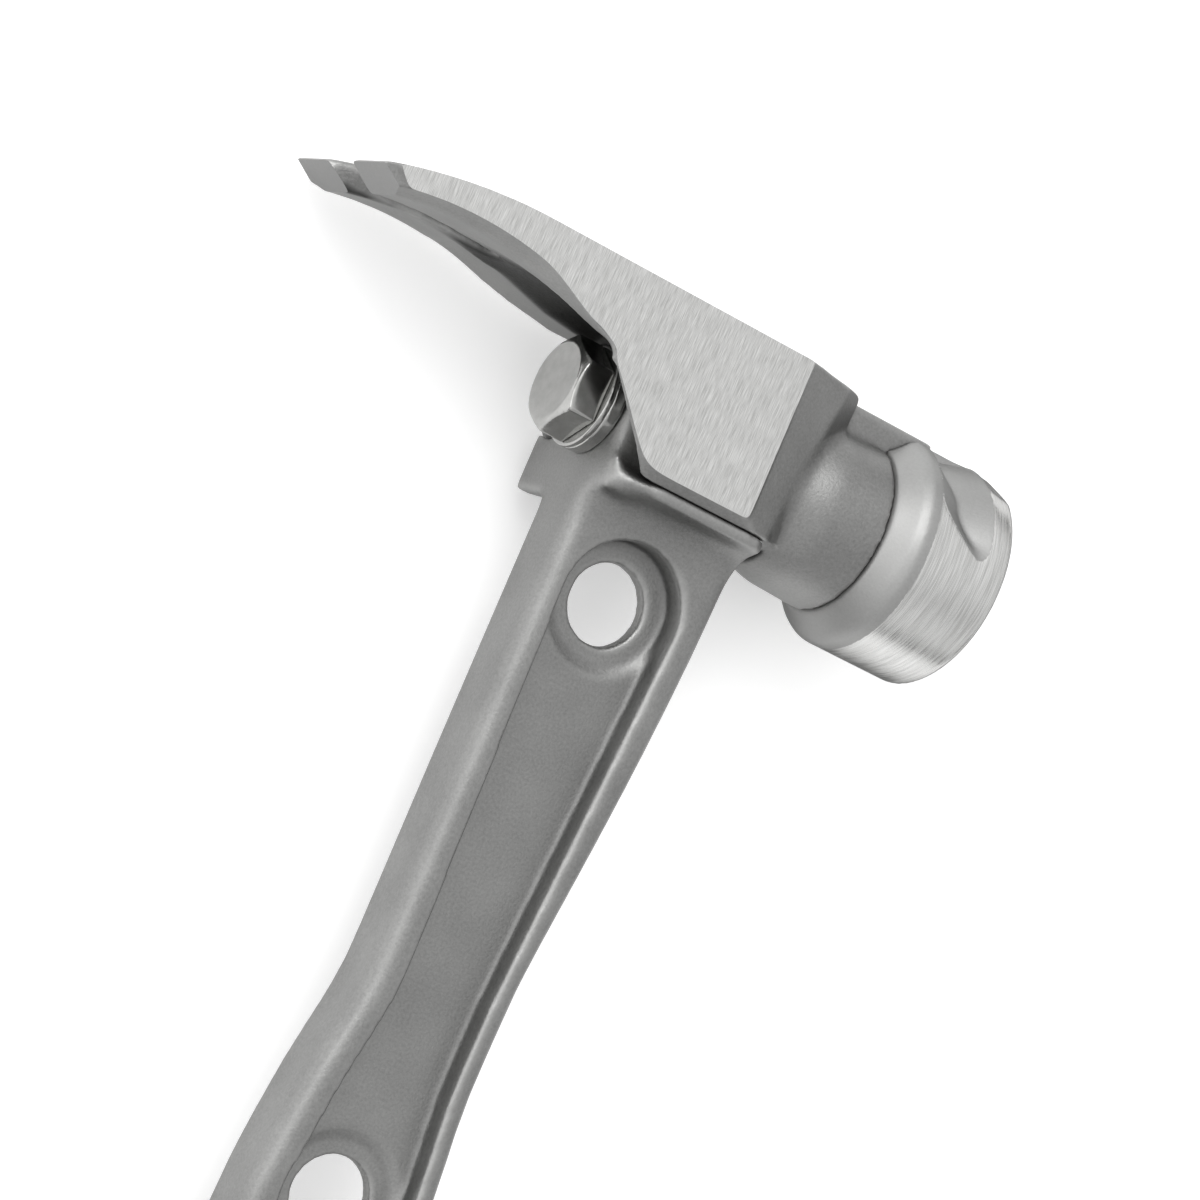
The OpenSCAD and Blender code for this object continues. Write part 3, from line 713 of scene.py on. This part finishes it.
# bolt, washers and magnet, with softened edges
# node: piece, voxel in mm, softening passes, body it rides on, slot
smallParts = {"face_bolt": ("boltSteel", 0.24, 2, "bolt", "bolt_steel"),
    "thin_washer": ("thinWasher", 0.16, 2, "washers", "bolt_steel"),
    "spring_washer": ("springWasher", 0.2, 3, "washers", "spring_steel"),
    "nail_magnet": ("magnetDisc", 0.2, 2, "head", "magnet")}
for node, (name, voxel, passes, body, slot) in smallParts.items():
    piece = castCopy(node, name, voxel * mm)
    relax(piece.data, passes)
    piece.data.materials.append(boltMetal)
    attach(piece, body)
    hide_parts(node)
    print(name, "made", len(piece.data.polygons))

# rubber grip; g runs from 0 at its top to 1 at the butt
gripSettings = {"top": -192.2, "length": 236, "width": 35, "thick": 25, "butt": 42, "around": 168,
    "rows": 400,
    # share of the width and thickness at the top, where the swell ends and where the butt flares
    "slimWidth": 0.86, "slimThick": 0.84, "swellEnd": 0.8,
    "flareWidth": (0.8, 0.2), "flareThick": (0.82, 0.18), "flare": 0.07,
    # cavity for the handle's core: its size, its floor over the butt, its corner's radius and its rings
    "coreW": 19.1, "coreT": 8.1, "floor": 8.95, "coreR": 1.5, "coreRows": 30,
    # rounding of the top and of the butt, and of the corners as a share of the half thickness
    "lip": 2.4, "buttEdge": 6, "cornerShare": 0.8,
    # ribs: distance from rib to rib; cut: depth of the grooves, which end before the top and the butt
    "ribs": 4.4, "cut": 0.7, "ribTop": (0.07, 0.02), "ribEnd": (0.84, 0.02), "ribSide": (0.35, 0.2),
    "ribShape": (6, 1.8),
    # middle line: how far it lies to the rear at the waist and shifts after it, its bow and its hook,
    # and how far down the waist and the butt are
    "waistX": 1.1, "shift": 1.1, "shiftOver": 18, "bow": 3.2, "hook": 3.5, "waistY": 82, "buttY": 428.2}


def gripMiddle(y):
    # x of the grip's middle = -waistX - shift (a smooth step after the waist) - bow sin^2(pi g) + hook g^3,
    # where g runs from the waist to the butt
    s = gripSettings
    g = (-y - s["waistY"]) / (s["buttY"] - s["waistY"])
    straight = -s["waistX"] - s["shift"] * smoothStep((-y - s["waistY"]) / s["shiftOver"])
    return straight - s["bow"] * np.sin(np.pi * g) ** 2 + s["hook"] * g ** 3


def roundedRing(halfW, halfT, radius):
    # points at even steps along a rectangle with rounded corners, starting in the middle of the front side
    count = gripSettings["around"]
    a = np.linspace(0, np.pi / 2, 9)
    quarter = np.stack([halfW - radius + radius * np.cos(a), halfT - radius + radius * np.sin(a)], 1)
    parts = [quarter, quarter[::-1] * (-1, 1), quarter * (-1, -1), quarter[::-1] * (1, -1)]
    path = np.vstack([[(halfW, 0)], *parts, [(halfW, 0)]])
    along = np.r_[0, np.cumsum(np.hypot(*np.diff(path, axis=0).T))]
    t = np.arange(count) / count * along[-1]
    return np.stack([np.interp(t, along, path[:, k]) for k in (0, 1)], 1)


def rounding(radius, distance):
    # how far a quarter circle lies inside its corner at a distance from its start: r - sqrt(r^2 - (r - d)^2)
    d = min(distance, radius)
    return radius - math.sqrt(radius ** 2 - (radius - d) ** 2)


def gripRings():
    # rings from the cavity's floor up its wall, over the lip, down the ribbed outside and over the butt;
    # half width = slim share + swell + flare - rounding, less the grooves' depth towards the sides
    s = gripSettings
    rings = []
    for y in np.linspace(s["top"] - s["length"] + s["floor"], s["top"], s["coreRows"]):
        rings.append((y, roundedRing(s["coreW"] / 2, s["coreT"] / 2, s["coreR"])))
    for g in np.linspace(0, 1, s["rows"]):
        y = s["top"] - s["length"] * g
        swell = np.sin(np.pi * min(1, g / s["swellEnd"]))
        w = s["width"] * (s["slimWidth"] + (1 - s["slimWidth"]) * swell)
        w = (w + (s["butt"] - s["slimWidth"] * s["width"]) * rise(g, s["flareWidth"])) / 2
        t = s["thick"] / 2 * (s["slimThick"] + (1 - s["slimThick"]) * swell)
        t = t + s["thick"] * s["flare"] * rise(g, s["flareThick"])
        inset = rounding(s["lip"], s["length"] * g) + rounding(s["buttEdge"], s["length"] * (1 - g))
        w, t = w - inset, t - inset
        ring = roundedRing(w, t, min(w, t) * s["cornerShare"])
        steep, flat = s["ribShape"]
        wave = smoothStep(abs(((y / s["ribs"]) % 1) - 0.5) * steep - flat)
        zone = rise(g, s["ribTop"]) * fall(g, s["ribEnd"])
        cut = s["cut"] * (1 - wave) * zone * rise(np.abs(ring[:, 0]) / w, s["ribSide"])
        rings.append((y, ring * (1 - cut / np.hypot(ring[:, 0], ring[:, 1]))[:, None]))
    return rings


def gripMesh():
    # each ring joins the next with quads; a fan closes each end
    rings = gripRings()
    n = gripSettings["around"]
    points = [np.c_[ring[:, 0] + gripMiddle(y), np.full(n, y), ring[:, 1]] for y, ring in rings]
    ends = [np.array([[gripMiddle(y), y, 0]]) for y in (rings[0][0], rings[-1][0])]
    points = (np.vstack(points + ends) + center) * mm
    i, j = np.meshgrid(np.arange(n), np.arange(len(rings) - 1))
    low, high, after = j * n, (j + 1) * n, (i + 1) % n
    quads = np.stack([low + i, low + after, high + after, high + i], -1).reshape(-1, 4).tolist()
    last = (len(rings) - 1) * n
    k = np.arange(n)
    floorFan = np.stack([np.full(n, len(points) - 2), (k + 1) % n, k], 1).tolist()
    buttFan = np.stack([np.full(n, len(points) - 1), last + k, last + (k + 1) % n], 1).tolist()
    obj = addMesh("gripSleeve", points, quads + floorFan + buttFan)
    turnOutwards(obj.data, mergeDistance)
    return obj


grip = gripMesh()
grip.data.materials.append(gripRubber)
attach(grip, "head")
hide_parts("rubber_grip")
print("grip made", len(grip.data.polygons))

nodeMetals = {"claw_head": castMetal, "handle": castMetal, "face_cap": faceMetal, "face_bolt": boltMetal,
    "thin_washer": boltMetal, "spring_washer": boltMetal, "nail_magnet": boltMetal, "rubber_grip": gripRubber}
for node, mat in nodeMetals.items():
    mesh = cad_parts[node].data
    mesh.materials.clear()
    mesh.materials.append(mat)

# camera, floor and light; places in m, angles in degrees
stageSettings = {"lens": 126, "sensor": 36, "camera": (-0.27025, 0.12318, 0.52637),
    "turn": (-7.014, -28.131, 26.518), "clip": (0.05, 20), "floorHalf": 6, "floorZ": -0.0002,
    "paper": 0.93, "paperLift": 0.3, "aim": (0, 0.15, 0.01)}
bpy.context.scene.view_settings.view_transform = "Standard"
cam = bpy.data.cameras.new("camera")
cam.lens = stageSettings["lens"]
cam.sensor_width = stageSettings["sensor"]
cam.clip_start, cam.clip_end = stageSettings["clip"]
camObj = addToScene(bpy.data.objects.new("camera", cam))
camObj.location = stageSettings["camera"]
camObj.rotation_euler = [math.radians(a) for a in stageSettings["turn"]]
bpy.context.scene.camera = camObj

corners = np.array([(-1, -1, 0), (1, -1, 0), (1, 1, 0), (-1, 1, 0)]) * stageSettings["floorHalf"]
floor = addMesh("floor", corners + (0, 0, stageSettings["floorZ"]), [(0, 1, 2, 3)], smooth=False)
paper, paperTree, paperShader = newMaterial("paper",
    {"Roughness": 0.9, "Base Color": grey(stageSettings["paper"]), "Emission Color": grey(1)})
floor.data.materials.append(paper)
# the paper is a little lighter for the camera, mirrors and glass, and keeps its shadow
rays = paperTree.nodes.new("ShaderNodeLightPath")
mirrored = mathNode(paperTree, "MAXIMUM", rays.outputs["Is Glossy Ray"], rays.outputs["Is Transmission Ray"])
looked = mathNode(paperTree, "MAXIMUM", rays.outputs["Is Camera Ray"], mirrored)
lift = mathNode(paperTree, "MULTIPLY", looked, stageSettings["paperLift"])
paperTree.links.new(lift, paperShader.inputs["Emission Strength"])

# sky radiance = low + (high - low) smoothstep(z / rise) + glow max(0, d.k)^glowPower
# - flag max(0, d.c)^flagPower, where d is the direction, k points to the main light and c to a dark flag
# that the shiny steel mirrors
skySettings = {"low": 0.15, "high": 0.82, "rise": 0.3, "glow": 0.55, "glowPower": 2.0,
    "light": (-0.72, 0.3, 0.62), "flag": 0.2, "flagPower": 24.0, "dark": (0.47, -0.45, 0.76)}
world = bpy.data.worlds.new("studio")
bpy.context.scene.world = world
world.use_nodes = True
sky = world.node_tree
direction = sky.nodes.new("ShaderNodeTexCoord").outputs["Generated"]
parts = sky.nodes.new("ShaderNodeSeparateXYZ")
sky.links.new(direction, parts.inputs[0])
plain = rangeNode(sky, parts.outputs[2], 0.0, skySettings["rise"], skySettings["low"], skySettings["high"])
plain.node.interpolation_type = "SMOOTHSTEP"


def towards(place, power, strength):
    # strength times max(0, d.place) to a power
    dot = sky.nodes.new("ShaderNodeVectorMath")
    dot.operation = "DOT_PRODUCT"
    sky.links.new(direction, dot.inputs[0])
    dot.inputs[1].default_value = place
    facing = mathNode(sky, "MAXIMUM", dot.outputs["Value"], 0.0)
    return mathNode(sky, "MULTIPLY", mathNode(sky, "POWER", facing, power), strength)


glow = towards(skySettings["light"], skySettings["glowPower"], skySettings["glow"])
flag = towards(skySettings["dark"], skySettings["flagPower"], skySettings["flag"])
total = mathNode(sky, "SUBTRACT", mathNode(sky, "ADD", plain, glow), flag)
background = sky.nodes["Background"]
background.inputs["Color"].default_value = grey(1)
sky.links.new(total, background.inputs["Strength"])

# name, place, size and power in W
softBoxes = [("keyBox", (-0.5, 0.9, 1.0), (0.8, 0.5), 5), ("rearBox", (-1.1, 0.0, 0.45), (0.4, 0.9), 1.2)]
for name, place, size, power in softBoxes:
    light = bpy.data.lights.new(name, "AREA")
    light.shape = "RECTANGLE"
    light.size, light.size_y = size
    light.energy = power
    box = addToScene(bpy.data.objects.new(name, light))
    box.location = place
    box.rotation_euler = (Vector(place) - Vector(stageSettings["aim"])).to_track_quat("Z", "Y").to_euler()
print("stage set")
